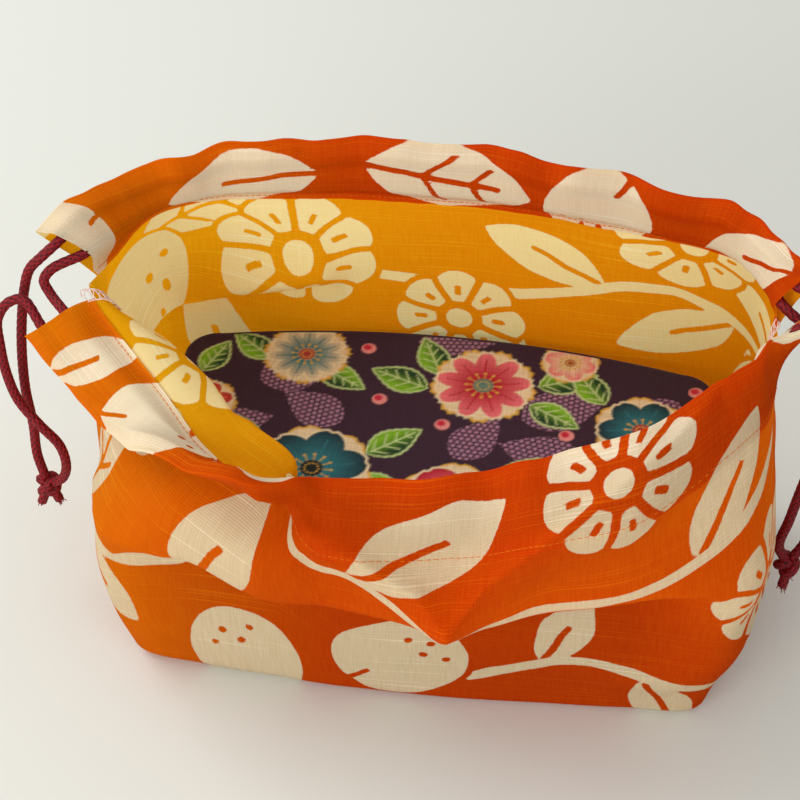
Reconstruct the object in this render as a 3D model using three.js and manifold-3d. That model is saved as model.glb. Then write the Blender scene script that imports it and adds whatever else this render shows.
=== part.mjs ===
// Drawstring bag sewn from one furoshiki cloth. It stands open on its boxed bottom with a
// stiff insert inside, and a cord runs through both rim casings from each side.
import * as THREE from 'three';
import { mergeVertices } from 'three/addons/utils/BufferGeometryUtils.js';
import Module from 'manifold-3d';

const wasm = await Module();
wasm.setup();

// Driving dimensions, in millimetres
const BOTTOM_LENGTH = 205;
const BOTTOM_DEPTH = 105;
const WALL_HEIGHT = 160;
const CLOTH = 0.9;
const COLLAR_HEIGHT = 50;
const CASING_HEIGHT = 28;
const SLIT_WIDTH = 12;
const STITCH_MARGIN = 2.5;
const CORD_DIAMETER = 3.5;
const CORD_CLEARANCE = 0.7;
const UPPER_CORD_DROP = 8;
const LOWER_CORD_DROP = 18;
const SEAT_GAP = 0.3;
const INSERT_HEIGHT = 71;
const INSERT_END_GAP = 5.5;
const INSERT_SIDE_GAP = 6;
const INSERT_BOW = 9.5;
const INSERT_CORNER = 12;
const INSERT_EDGE = 2.5;
const KNOT_WIDTH = 10;
const KNOT_HEIGHT = 9;
const TAIL_LENGTH = 7;
const TAIL_SPREAD = Math.PI / 7;

// How finely the cloth and the cords are drawn
const STATIONS = 32;
const WALL_STEPS = 18;
const CORD_SIDES = 8;
const KNOT_SIDES = 12;
const WELD = 1e-4;

// The size at which the hand-chosen points below are drawn
const DRAWN = { length: 205, depth: 105, height: 160 };

const PANEL_WIDTH = BOTTOM_LENGTH + BOTTOM_DEPTH;
const STITCH_HEIGHT = WALL_HEIGHT - CASING_HEIGHT;
const TUNNEL = CORD_DIAMETER + 2 * CORD_CLEARANCE;

// Ribs of the front panel, from the left side seam to the right one. Each runs up the outer face
// from the bottom, first the wall and then the collar that ends in the rim, and `at` is its share
// of the panel's width. The collar's left half is turned over outwards, and the wall's middle
// slumps into a hanging fold.
const FRONT_RIBS = [
  { at: 0,
    wall: [[-102, 0, 0], [-115, -1, 33], [-122, -2, 62], [-120, -2, 92], [-116, -1, 111]],
    collar: [[-114, -1, 126], [-118, -3, 129], [-140, -10, 116]] },
  { at: 0.08,
    wall: [[-102, -26, 0], [-112, -29, 30], [-116, -30, 55], [-110, -23, 84], [-92, -4, 111]],
    collar: [[-97, -9, 120], [-104, -14, 119], [-122, -21, 102]] },
  { at: 0.17,
    wall: [[-100, -50, 0], [-107, -54, 28], [-110, -54, 52], [-101, -48, 80], [-73, -19, 109]],
    collar: [[-80, -25, 113], [-88, -31, 111], [-104, -37, 98]] },
  { at: 0.26,
    wall: [[-75, -55, 0], [-79, -58, 28], [-82, -63, 54], [-78, -63, 82], [-55, -38, 108]],
    collar: [[-63, -45, 106], [-71, -52, 103], [-81, -60, 112]] },
  { at: 0.35,
    wall: [[-47, -57, 0], [-48, -59, 30], [-50, -67, 60], [-49, -68, 88], [-38, -53, 106]],
    collar: [[-43, -58, 100], [-48, -64, 101], [-52, -73, 117]] },
  { at: 0.44,
    wall: [[-19, -58, 0], [-20, -60, 35], [-20, -59, 66], [-22, -66, 57], [-24, -73, 54], [-25, -76, 66]],
    collar: [[-25, -74, 80], [-26, -67, 96], [-27, -62, 109]] },
  { at: 0.55,
    wall: [[15, -58, 0], [15, -60, 35], [15, -59, 65], [15, -68, 56], [15, -79, 50], [15, -82, 60],
      [15, -78, 68]],
    collar: [[15, -67, 92], [15, -57, 111]] },
  { at: 0.65,
    wall: [[46, -56, 0], [46, -58, 35], [46, -57, 67], [46, -66, 60], [46, -75, 62], [46, -73, 79]],
    collar: [[45, -67, 97], [44, -52, 117]] },
  { at: 0.74,
    wall: [[74, -54, 0], [75, -56, 35], [75, -55, 70], [76, -62, 64], [77, -69, 67], [76, -66, 80]],
    collar: [[75, -58, 100], [73, -46, 120]] },
  { at: 0.83,
    wall: [[100, -50, 0], [105, -54, 30], [109, -58, 56], [112, -58, 72], [110, -52, 86], [107, -45, 98]],
    collar: [[103, -37, 119], [98, -29, 139]] },
  { at: 0.92,
    wall: [[102, -26, 0], [112, -31, 30], [117, -33, 62], [117, -29, 84], [115, -23, 101]],
    collar: [[114, -18, 124], [114, -15, 144]] },
  { at: 1,
    wall: [[102, 0, 0], [113, 0, 30], [118, 0, 62], [117, 0, 92], [114, 0, 113]],
    collar: [[113, -1, 130], [129, -9, 147]] },
];

// Ribs of the back panel, from the right side seam to the left one
const BACK_RIBS = [
  { at: 0,
    wall: [[102, 0, 0], [113, 0, 30], [118, 0, 62], [117, 0, 92], [114, 0, 113]],
    collar: [[113, 1, 130], [128, 10, 148]] },
  { at: 0.08,
    wall: [[102, 26, 0], [110, 29, 35], [114, 29, 72], [113, 25, 112]],
    collar: [[112, 22, 130], [118, 22, 150]] },
  { at: 0.17,
    wall: [[100, 50, 0], [104, 54, 35], [105, 54, 72], [100, 47, 112]],
    collar: [[98, 43, 130], [100, 41, 151]] },
  { at: 0.35,
    wall: [[47, 57, 0], [47, 59, 35], [47, 58, 72], [45, 54, 113]],
    collar: [[44, 53, 130], [44, 55, 154]] },
  { at: 0.5,
    wall: [[0, 58, 0], [0, 61, 35], [-2, 61, 72], [-3, 56, 113]],
    collar: [[-3, 56, 130], [-4, 59, 156]] },
  { at: 0.65,
    wall: [[-47, 57, 0], [-47, 59, 35], [-48, 58, 72], [-50, 54, 113]],
    collar: [[-51, 54, 130], [-52, 57, 154]] },
  { at: 0.83,
    wall: [[-100, 50, 0], [-106, 55, 35], [-108, 54, 72], [-104, 47, 112]],
    collar: [[-103, 43, 130], [-104, 43, 150]] },
  { at: 0.92,
    wall: [[-102, 26, 0], [-113, 28, 35], [-120, 28, 70], [-118, 22, 106]],
    collar: [[-116, 18, 128], [-124, 26, 150]] },
  { at: 1,
    wall: [[-102, 0, 0], [-115, 1, 33], [-122, 2, 62], [-120, 2, 92], [-116, 1, 111]],
    collar: [[-114, 1, 128], [-132, 5, 150]] },
];

// Free ends of the cords, hand-chosen, from the casing's end down to the knot
const LEFT_BACK_STRAND = [[-129, 3, 144], [-134, 2, 137], [-140, 2, 126], [-144, 1, 113],
  [-145, -2, 99], [-145, -5, 83], [-144, -6, 66], [-144, -7, 52]];
const LEFT_FRONT_STRAND = [[-138, -6, 123], [-143, -8, 123], [-148, -10, 117], [-149, -11, 107],
  [-148, -12, 95], [-145, -13, 84], [-138, -15, 75], [-132, -15, 66], [-131, -14, 55], [-134, -12, 46]];
const RIGHT_FRONT_STRAND = [[123, -4, 137], [130, -5, 136], [136, -6, 128], [136, -8, 113],
  [132, -10, 97], [128, -12, 80], [125, -13, 62], [123, -12, 48]];
const RIGHT_BACK_STRAND = [[121, 4, 137], [128, 5, 138], [136, 6, 134], [141, 5, 121],
  [141, 2, 104], [139, -1, 86], [136, -4, 68], [132, -8, 47]];
const LEFT_KNOT = [-141, -9, 39];
const RIGHT_KNOT = [127, -10, 37];

// Where a cord crosses a slit, from the front casing to the back one
const LEFT_CROSSING = [[-127, -3, 126], [-129, -2, 132], [-124, 1, 137]];
const RIGHT_CROSSING = [[131, -5, 145], [135, 0, 146], [132, 6, 146]];

// A hand-chosen point at the bag's own size
const atSize = ([x, y, z]) => new THREE.Vector3(
  x * BOTTOM_LENGTH / DRAWN.length,
  y * BOTTOM_DEPTH / DRAWN.depth,
  z * WALL_HEIGHT / DRAWN.height,
);

// A rib as a function of the height v up the cloth, even along its wall and along its collar
function makeRib({ wall, collar }) {
  const curve = new THREE.CatmullRomCurve3([...wall, ...collar].map(atSize));
  const turn = WALL_HEIGHT - COLLAR_HEIGHT;
  const samples = 40;
  curve.arcLengthDivisions = samples * (wall.length + collar.length - 1);
  const lengths = curve.getLengths();
  const turnShare = lengths[samples * (wall.length - 1)] / lengths.at(-1);
  return (v) => curve.getPointAt(v < turn
    ? turnShare * v / turn
    : turnShare + (1 - turnShare) * (v - turn) / COLLAR_HEIGHT);
}

// One panel of the wall: point(u, v) is on its outer face, u along the rim and v up the cloth
function makePanel(ribs) {
  const curves = ribs.map(makeRib);
  const levels = new Map();

  function level(v) {
    if (!levels.has(v)) {
      levels.set(v, new THREE.CatmullRomCurve3(curves.map((rib) => rib(v))));
    }
    return levels.get(v);
  }

  function point(u, v) {
    const at = THREE.MathUtils.clamp(u / PANEL_WIDTH, 0, 1);
    const next = Math.max(1, ribs.findIndex((rib) => rib.at >= at));
    const [from, to] = [ribs[next - 1].at, ribs[next].at];
    const place = next - 1 + (at - from) / (to - from);
    return level(v).getPoint(place / (ribs.length - 1));
  }

  // The direction into the bag, from the slopes of the cloth along and across the panel
  function inward(u, v) {
    const reach = 3;
    const low = Math.max(v - reach, 0);
    const high = Math.min(v + reach, WALL_HEIGHT);
    const along = point(u + reach, v).sub(point(u - reach, v));
    const up = point(u, high).sub(point(u, low));
    return up.cross(along).normalize();
  }

  const offset = (u, v, depth) => point(u, v).addScaledVector(inward(u, v), depth);
  return { point, offset };
}

const PANELS = [makePanel(FRONT_RIBS), makePanel(BACK_RIBS)];

// Places along one panel's rim, from the end of one slit to the start of the next
const PLACES = Array.from({ length: STATIONS }, (_, i) => (
  SLIT_WIDTH / 2 + (PANEL_WIDTH - SLIT_WIDTH) * i / (STATIONS - 1)
));

// The casing's section as [height above the stitch line, depth into the bag], going up the outer
// face, over the rim and down the inner flap, with the tunnel inside it point by point
function casingSection() {
  const flap = CLOTH + TUNNEL;
  const rim = CASING_HEIGHT;
  const low = CASING_HEIGHT / 4;
  const middle = CASING_HEIGHT / 2;
  const high = CASING_HEIGHT * 3 / 4;
  const skin = [
    [0, 0], [low, 0], [middle, 0], [high, 0], [rim - CLOTH, 0],
    [rim, flap / 2],
    [rim - CLOTH, flap + CLOTH], [high, flap + CLOTH], [middle, flap + CLOTH], [low, flap + CLOTH],
    [0, CLOTH],
  ];
  const tunnel = [
    [STITCH_MARGIN, CLOTH], [low, CLOTH], [middle, CLOTH], [high, CLOTH], [rim - 2 * CLOTH, CLOTH],
    [rim - CLOTH, flap / 2],
    [rim - 2 * CLOTH, flap], [high, flap], [middle, flap], [low, flap],
    [STITCH_MARGIN, CLOTH * 1.5],
  ];
  return { skin, tunnel };
}

// A closed mesh from points and triangles, with shared points merged
function closedGeometry(points, triangles) {
  const geometry = new THREE.BufferGeometry().setFromPoints(points);
  geometry.setIndex(triangles.flat());
  const merged = mergeVertices(geometry, WELD);
  merged.computeVertexNormals();
  return merged;
}

// The whole sewn cloth: walls, bottom and both casings, with each tunnel open at the slits
function makeBag() {
  const points = [];
  const triangles = [];
  const add = (point) => points.push(point) - 1;
  const quad = (a, b, c, d) => triangles.push([a, b, c], [a, c, d]);

  // Rows of points up the outer face and the inner face, one pair of rows a station
  const rows = PANELS.flatMap((panel) => PLACES.map((u) => {
    const outer = [];
    const inner = [];
    for (let j = 0; j <= WALL_STEPS; j += 1) {
      const v = STITCH_HEIGHT * j / WALL_STEPS;
      const inside = panel.offset(u, v, CLOTH);
      if (j === 0) inside.z = CLOTH;
      outer.push(add(panel.point(u, v)));
      inner.push(add(inside));
    }
    return { panel, u, outer, inner };
  }));

  const underside = add(new THREE.Vector3(0, 0, 0));
  const floor = add(new THREE.Vector3(0, 0, CLOTH));
  rows.forEach((row, i) => {
    const next = rows[(i + 1) % rows.length];
    for (let j = 0; j < WALL_STEPS; j += 1) {
      quad(row.outer[j], next.outer[j], next.outer[j + 1], row.outer[j + 1]);
      quad(next.inner[j], row.inner[j], row.inner[j + 1], next.inner[j + 1]);
    }
    triangles.push([underside, next.outer[0], row.outer[0]]);
    triangles.push([floor, row.inner[0], next.inner[0]]);

    // The bare edge of the cloth at the foot of a slit
    if (row.panel !== next.panel) {
      const top = WALL_STEPS;
      quad(row.outer[top], next.outer[top], next.inner[top], row.inner[top]);
    }
  });

  // Casings, joined to the top of the wall rows
  const section = casingSection();
  const rings = rows.map(({ panel, u, outer, inner }) => {
    const place = ([height, depth]) => add(panel.offset(u, STITCH_HEIGHT + height, depth));
    const skin = section.skin.map((spot, k) => {
      if (k === 0) return outer[WALL_STEPS];
      if (k === section.skin.length - 1) return inner[WALL_STEPS];
      return place(spot);
    });
    return { panel, skin, tunnel: section.tunnel.map(place) };
  });
  const last = section.skin.length - 1;
  rings.forEach((ring, i) => {
    const next = rings[(i + 1) % rings.length];
    const before = rings[(i + rings.length - 1) % rings.length];
    const { skin, tunnel } = ring;
    if (ring.panel === next.panel) {
      for (let k = 0; k <= last; k += 1) {
        const m = (k + 1) % (last + 1);
        if (k < last) quad(skin[k], next.skin[k], next.skin[m], skin[m]);
        quad(next.tunnel[k], tunnel[k], tunnel[m], next.tunnel[m]);
      }
    }
    for (let k = 0; k <= last; k += 1) {
      const m = (k + 1) % (last + 1);
      if (ring.panel !== before.panel) quad(skin[k], skin[m], tunnel[m], tunnel[k]);
      if (ring.panel !== next.panel) quad(skin[m], skin[k], tunnel[k], tunnel[m]);
    }
  });
  return closedGeometry(points, triangles);
}

// A cord's line inside one casing, at a given drop below the rim
function casingLine(panel, drop) {
  const depth = CLOTH + TUNNEL / 2;
  return PLACES.map((u) => panel.offset(u, WALL_HEIGHT - drop, depth));
}

// A closed tube with one straight step between each pair of neighbouring points
function makeCord(points) {
  const corners = Array.from({ length: CORD_SIDES }, (_, k) => {
    const turn = 2 * Math.PI * k / CORD_SIDES;
    return new THREE.Vector2(Math.cos(turn), Math.sin(turn)).multiplyScalar(CORD_DIAMETER / 2);
  });
  const line = new THREE.CatmullRomCurve3(points);
  line.getPointAt = line.getPoint;
  line.getTangentAt = line.getTangent;
  return new THREE.ExtrudeGeometry(new THREE.Shape(corners), {
    steps: points.length - 1,
    extrudePath: line,
  });
}

// The strand's end stops one seat gap short of the knot
function strandToKnot(strand, knot) {
  const line = strand.map(atSize);
  const centre = atSize(knot);
  const toEnd = line.at(-1).clone().sub(centre).normalize();
  line.push(centre.addScaledVector(toEnd, KNOT_WIDTH / 2 + SEAT_GAP));
  return line;
}

// The left cord leaves and enters at the left slit and crosses over at the right one
function makeLeftCord() {
  const [front, back] = PANELS;
  return makeCord([
    ...strandToKnot(LEFT_BACK_STRAND, LEFT_KNOT).reverse(),
    ...casingLine(back, UPPER_CORD_DROP).reverse(),
    ...RIGHT_CROSSING.map(atSize).reverse(),
    ...casingLine(front, UPPER_CORD_DROP).reverse(),
    ...strandToKnot(LEFT_FRONT_STRAND, LEFT_KNOT),
  ]);
}

function makeRightCord() {
  const [front, back] = PANELS;
  return makeCord([
    ...strandToKnot(RIGHT_FRONT_STRAND, RIGHT_KNOT).reverse(),
    ...casingLine(front, LOWER_CORD_DROP).reverse(),
    ...LEFT_CROSSING.map(atSize),
    ...casingLine(back, LOWER_CORD_DROP).reverse(),
    ...strandToKnot(RIGHT_BACK_STRAND, RIGHT_KNOT),
  ]);
}

function toSolid(geometry) {
  geometry.deleteAttribute('normal');
  geometry.deleteAttribute('uv');
  const merged = mergeVertices(geometry, WELD);
  return new wasm.Manifold(new wasm.Mesh({
    numProp: 3,
    vertProperties: merged.attributes.position.array,
    triVerts: new Uint32Array(merged.index.array),
  }));
}

function toGeometry(solid) {
  const mesh = solid.getMesh();
  const geometry = new THREE.BufferGeometry();
  geometry.setAttribute('position', new THREE.BufferAttribute(mesh.vertProperties, 3));
  geometry.setIndex(new THREE.BufferAttribute(mesh.triVerts, 1));
  geometry.computeVertexNormals();
  return geometry;
}

// A tied knot with its two cut ends hanging below
function makeKnot() {
  const ball = new THREE.SphereGeometry(KNOT_WIDTH / 2, KNOT_SIDES, KNOT_SIDES * 2 / 3);
  ball.rotateX(Math.PI / 2);
  ball.scale(1, 1, KNOT_HEIGHT / KNOT_WIDTH);
  let solid = toSolid(ball);
  for (const side of [-1, 1]) {
    const tail = new THREE.CylinderGeometry(CORD_DIAMETER / 2, CORD_DIAMETER / 2, TAIL_LENGTH, CORD_SIDES);
    tail.rotateX(Math.PI / 2);
    tail.translate(0, 0, -(KNOT_HEIGHT + TAIL_LENGTH) / 2 + CORD_DIAMETER / 2);
    tail.rotateY(side * TAIL_SPREAD);
    solid = solid.add(toSolid(tail));
  }
  return toGeometry(solid);
}

// A cloth-covered stiff block with rounded corners and bowed long sides, standing on the bottom
function makeInsert() {
  const x = BOTTOM_LENGTH / 2 - INSERT_END_GAP - INSERT_EDGE;
  const y = BOTTOM_DEPTH / 2 - INSERT_SIDE_GAP - INSERT_EDGE;
  const r = INSERT_CORNER - INSERT_EDGE;
  const crest = y + 2 * INSERT_BOW;
  const outline = new THREE.Shape();
  outline.absarc(x - r, y - r, r, 0, Math.PI / 2);
  outline.quadraticCurveTo(0, crest, r - x, y);
  outline.absarc(r - x, y - r, r, Math.PI / 2, Math.PI);
  outline.absarc(r - x, r - y, r, Math.PI, Math.PI * 3 / 2);
  outline.quadraticCurveTo(0, -crest, x - r, -y);
  outline.absarc(x - r, r - y, r, Math.PI * 3 / 2, Math.PI * 2);
  const block = new THREE.ExtrudeGeometry(outline, {
    depth: INSERT_HEIGHT - 2 * INSERT_EDGE,
    bevelThickness: INSERT_EDGE,
    bevelSize: INSERT_EDGE,
    bevelSegments: 3,
    curveSegments: 6,
  });
  block.translate(0, 0, INSERT_EDGE);
  return block;
}

const clothMaterial = new THREE.MeshStandardMaterial({ color: 0xdc640a, roughness: 0.85, metalness: 0 });
const cordMaterial = new THREE.MeshStandardMaterial({ color: 0x6e141e, roughness: 0.7, metalness: 0 });
const insertMaterial = new THREE.MeshStandardMaterial({ color: 0x32192d, roughness: 0.8, metalness: 0 });

function named(name, geometry, material, place = new THREE.Vector3()) {
  const mesh = new THREE.Mesh(geometry, material);
  mesh.name = name;
  mesh.position.copy(place);
  return mesh;
}

const bag = new THREE.Group();
bag.add(
  named('cloth_bag', makeBag(), clothMaterial),
  named('left_cord', makeLeftCord(), cordMaterial),
  named('right_cord', makeRightCord(), cordMaterial),
  named('left_knot', makeKnot(), cordMaterial, atSize(LEFT_KNOT)),
  named('right_knot', makeKnot(), cordMaterial, atSize(RIGHT_KNOT)),
  named('base_insert', makeInsert(), insertMaterial, new THREE.Vector3(0, 0, CLOTH + SEAT_GAP)),
);

export default bag;
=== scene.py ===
"""Looks of an open drawstring bag, sewn from printed furoshiki cloth, with a stiff insert."""
import math

import bpy
import numpy as np
from mathutils import Matrix, Vector


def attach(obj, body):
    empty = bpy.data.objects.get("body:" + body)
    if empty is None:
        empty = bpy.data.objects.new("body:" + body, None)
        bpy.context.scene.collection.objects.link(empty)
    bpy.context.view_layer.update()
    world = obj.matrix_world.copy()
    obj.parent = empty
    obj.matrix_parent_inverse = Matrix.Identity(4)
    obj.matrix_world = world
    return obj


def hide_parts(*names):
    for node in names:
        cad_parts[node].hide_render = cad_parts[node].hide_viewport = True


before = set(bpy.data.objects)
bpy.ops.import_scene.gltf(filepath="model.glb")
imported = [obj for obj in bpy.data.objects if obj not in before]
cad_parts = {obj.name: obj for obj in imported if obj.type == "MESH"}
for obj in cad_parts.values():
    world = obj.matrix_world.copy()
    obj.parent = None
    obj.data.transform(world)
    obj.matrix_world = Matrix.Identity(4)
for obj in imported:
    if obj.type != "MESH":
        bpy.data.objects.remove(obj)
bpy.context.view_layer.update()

MM = 0.001

# Sizes in millimetres, as in the CAD model
WALL_HEIGHT = 160
PANEL_WIDTH = 310
COLLAR_HEIGHT = 50
CASING_HEIGHT = 28
SLIT_WIDTH = 12
CLOTH = 0.9
CORD_DIAMETER = 3.5
CORD_CLEARANCE = 0.7
HEM_EDGE = 2.4
UPPER_CORD_DROP = 8
LOWER_CORD_DROP = 18
TURN_HEIGHT = WALL_HEIGHT - COLLAR_HEIGHT
STITCH_HEIGHT = WALL_HEIGHT - CASING_HEIGHT
CORD_DEPTH = CLOTH + CORD_CLEARANCE + CORD_DIAMETER / 2

# The insert: half its length and depth, bow of its long sides, foot, top, corner and edge
INSERT = {"x": 97, "y": 46.5, "bow": 9.5, "low": 1.2, "high": 72.2, "corner": 12, "edge": 2.5}

# How finely the cloth is drawn, and how far its lowest points stand over the floor
CLOTH_STEP = 1.25
FLOOR_GAP = 0.2

# Ribs of the front panel, left seam to right seam: share of the width, wall points, collar points
FRONT_RIBS = [
    (0, [(-102, 0, 0), (-115, -1, 33), (-122, -2, 62), (-120, -2, 92), (-116, -1, 111)],
     [(-114, -1, 126), (-119, -3, 130), (-144, -9, 119)]),
    (0.08, [(-102, -26, 0), (-112, -29, 30), (-116, -30, 55), (-110, -23, 84), (-92, -4, 111)],
     [(-97, -9, 120), (-104, -14, 119), (-122, -21, 102)]),
    (0.17, [(-100, -50, 0), (-107, -54, 28), (-110, -54, 52), (-101, -48, 80), (-73, -19, 109)],
     [(-80, -25, 113), (-88, -31, 111), (-104, -37, 98)]),
    (0.26, [(-75, -55, 0), (-79, -57, 30), (-81, -58, 68), (-82, -62, 68), (-83, -66, 76), (-78, -63, 90),
            (-55, -38, 108)],
     [(-63, -45, 106), (-71, -52, 103), (-81, -60, 112)]),
    (0.35, [(-47, -57, 0), (-48, -59, 32), (-49, -58, 63), (-50, -63, 58), (-51, -69, 59), (-51, -73, 69),
            (-50, -73, 82), (-45, -63, 92), (-40, -54, 100), (-38, -51, 106)],
     [(-43, -58, 104), (-48, -65, 104), (-52, -73, 116)]),
    (0.395, [(-33, -58, 0), (-34, -60, 33), (-34, -59, 65), (-36, -65, 58), (-37, -71, 59), (-38, -75, 70),
             (-38, -76, 82)],
     [(-37, -72, 90), (-36, -67, 97), (-37, -65, 103), (-40, -67, 112)]),
    (0.44, [(-19, -58, 0), (-20, -60, 35), (-20, -60, 66), (-22, -67, 60), (-23, -72, 60), (-24, -75, 68)],
     [(-25, -77, 80), (-25, -76, 91), (-26, -70, 100), (-27, -62, 108)]),
    (0.55, [(15, -58, 0), (15, -60, 35), (15, -59, 72), (15, -68, 64), (15, -78, 59), (15, -83, 66)],
     [(15, -81, 74), (15, -70, 91), (15, -57, 111)]),
    (0.65, [(46, -56, 0), (46, -58, 35), (46, -57, 72), (46, -65, 65), (46, -72, 65), (46, -74, 75)],
     [(46, -74, 89), (46, -70, 101), (44, -51, 118)]),
    (0.74, [(74, -54, 0), (75, -56, 35), (75, -55, 72), (76, -61, 68), (76, -66, 70), (76, -67, 82)],
     [(76, -65, 104), (75, -60, 116), (73, -47, 128)]),
    (0.83, [(100, -50, 0), (105, -54, 30), (109, -58, 56), (112, -58, 72), (110, -52, 86), (107, -45, 98)],
     [(103, -37, 119), (98, -29, 139)]),
    (0.92, [(102, -26, 0), (112, -31, 30), (117, -33, 62), (117, -29, 84), (115, -23, 101)],
     [(114, -18, 124), (114, -15, 144)]),
    (1, [(102, 0, 0), (113, 0, 30), (118, 0, 62), (117, 0, 92), (114, 0, 113)],
     [(113, -1, 130), (129, -9, 147)]),
]

# Ribs of the back panel, right seam to left seam
BACK_RIBS = [
    (0, [(102, 0, 0), (113, 0, 30), (118, 0, 62), (117, 0, 92), (114, 0, 113)],
     [(113, 1, 130), (128, 10, 148)]),
    (0.08, [(102, 26, 0), (110, 29, 35), (114, 29, 72), (113, 25, 112)], [(112, 22, 130), (118, 22, 150)]),
    (0.17, [(100, 50, 0), (104, 54, 35), (105, 54, 72), (100, 47, 112)], [(98, 43, 130), (100, 41, 151)]),
    (0.35, [(47, 57, 0), (47, 59, 35), (47, 58, 72), (45, 54, 113)], [(44, 53, 130), (44, 55, 154)]),
    (0.5, [(0, 58, 0), (0, 61, 35), (-2, 61, 72), (-3, 56, 113)], [(-3, 56, 130), (-4, 59, 156)]),
    (0.65, [(-47, 57, 0), (-47, 59, 35), (-48, 58, 72), (-50, 54, 113)], [(-51, 54, 130), (-52, 57, 154)]),
    (0.83, [(-100, 50, 0), (-106, 55, 35), (-108, 54, 72), (-104, 47, 112)],
     [(-103, 43, 130), (-104, 43, 150)]),
    (0.92, [(-102, 26, 0), (-113, 28, 35), (-120, 28, 70), (-118, 22, 106)],
     [(-116, 18, 128), (-128, 23, 147)]),
    (1, [(-102, 0, 0), (-115, 1, 33), (-122, 2, 62), (-120, 2, 92), (-116, 1, 111)],
     [(-114, 1, 128), (-138, 2, 143)]),
]

# Heights on the flat cloth of each rib's two folding places: under the lip, and at the crest
FRONT_MARKS = [(63, 91), (53, 77), (47, 69), (60, 79), (60, 82), (80, 110), (95, 137),
               (99, 113), (95, 110), (93, 110), (80, 110), (80, 110), (80, 110)]
BACK_MARKS = [(60, 110)] * len(BACK_RIBS)

# Free ends of the cords, from the casing's end down to the knot
LEFT_BACK_STRAND = [(-134, 2, 138), (-139, 2, 132), (-142, 2, 123), (-144, 1, 112),
                    (-145, -2, 99), (-145, -5, 83), (-144, -6, 66), (-144, -7, 52)]
LEFT_FRONT_STRAND = [(-140, -6, 125), (-145, -7, 124), (-149, -9, 118), (-149, -11, 107), (-148, -12, 95),
                     (-145, -13, 84), (-138, -15, 75), (-132, -15, 66), (-131, -14, 55), (-134, -12, 46)]
RIGHT_FRONT_STRAND = [(121, -2, 139), (130, -5, 136), (136, -6, 128), (136, -8, 113),
                      (132, -10, 97), (128, -12, 80), (125, -13, 62), (123, -12, 48)]
RIGHT_BACK_STRAND = [(121, 4, 137), (128, 5, 138), (136, 6, 134), (141, 5, 121),
                     (141, 2, 104), (139, -1, 86), (136, -4, 68), (132, -8, 47)]
LEFT_KNOT = (-141, -9, 39)
RIGHT_KNOT = (127, -10, 37)

# Where a cord crosses a slit, from the front casing to the back one
LEFT_CROSSING = [(-131, -3.5, 127), (-133, -2, 131), (-130.5, 0, 134.5)]
RIGHT_CROSSING = [(131, -5, 145), (135, 0, 146), (132, 6, 146)]

# Each panel's ribs, their marks, and the place along the flat cloth where the panel starts
FRONT = (FRONT_RIBS, FRONT_MARKS, 0)
BACK = (BACK_RIBS, BACK_MARKS, PANEL_WIDTH)

# Folds: line over the flat cloth, height outwards, width, and whether the fold is sharp
FOLDS = [
    ([(112, 150), (133, 141), (147, 135), (162, 125), (171, 113)], 5, 18, True),
    ([(256, 160), (227, 149), (201, 134), (185, 126), (171, 113)], 4, 18, True),
    ([(172, 138), (186, 148)], -4, 20, False),
    ([(206, 112), (240, 128)], -3.5, 14, False),
    ([(148, 118), (132, 124)], -3, 12, False),
    ([(24, 58), (56, 56), (81, 62)], 3, 12, True),
    ([(512, 99), (534, 90), (553, 84), (572, 83), (590, 86)], -10, 9, False),
    ([(232, 22), (262, 38), (294, 56)], 3, 12, False),
]

# Finer creases: the flap's two pressed edges, and the groove below the inner roll
CREASES = [
    (FOLDS[0][0], 1.6, 5, True),
    (FOLDS[1][0], 1.6, 5, True),
    ([(512, 89), (534, 80), (553, 74), (572, 73), (590, 76)], 6, 5, False),
]

# Folds grow fainter in the casings: over this height, and down to this share
FOLD_EASE = 16
CASING_FOLD = 0.3

# Waves all over the cloth: height, slant, lengths across and up, seed
SOFT_WAVES = [(1.6, 0.5, 46, 38, 3), (0.4, -0.4, 17, 21, 4)]

# Waves along the casings, their stitching and their rims: height, length, seed
GATHERS = [(2.4, 15, 6), (0.7, 6.5, 8)]
PUCKERS = [(0.3, 5, 5)]
RIM_WAVES = [(1.1, 10, 9)]

# Distances over which the waves fade: at the foot, at the side seams, and from the stitching
FOOT_EASE = 20
SEAM_EASE = 10
PUCKER_EASE = 4


# Curves and surfaces

def catmull_rom(points, places):
    """Centripetal curve through points, at places counted in control points."""
    points = np.asarray(points, float)
    padded = np.concatenate([2 * points[:1] - points[1:2], points, 2 * points[-1:] - points[-2:-1]])
    start = np.clip(np.floor(places).astype(int), 0, len(points) - 2)
    t = (places - start).reshape(-1, *[1] * (points.ndim - 1))
    p0, p1, p2, p3 = (padded[start + k] for k in range(4))
    d0, d1, d2 = (np.sqrt(np.linalg.norm(b - a, axis=-1, keepdims=True)) + 1e-9
                  for a, b in ((p0, p1), (p1, p2), (p2, p3)))
    m1 = ((p1 - p0) / d0 - (p2 - p0) / (d0 + d1) + (p2 - p1) / d1) * d1
    m2 = ((p2 - p1) / d1 - (p3 - p1) / (d1 + d2) + (p3 - p2) / d2) * d1
    return ((2 * t**3 - 3 * t**2 + 1) * p1 + (t**3 - 2 * t**2 + t) * m1
            + (3 * t**2 - 2 * t**3) * p2 + (t**3 - t**2) * m2)


def arc_lengths(line):
    return np.concatenate([[0], np.cumsum(np.linalg.norm(np.diff(line, axis=0), axis=1))])


def between(line, places, goals):
    """Points of a line at goals, where its own points stand at places."""
    return np.stack([np.interp(goals, places, line[:, k]) for k in range(3)], axis=1)


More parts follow.
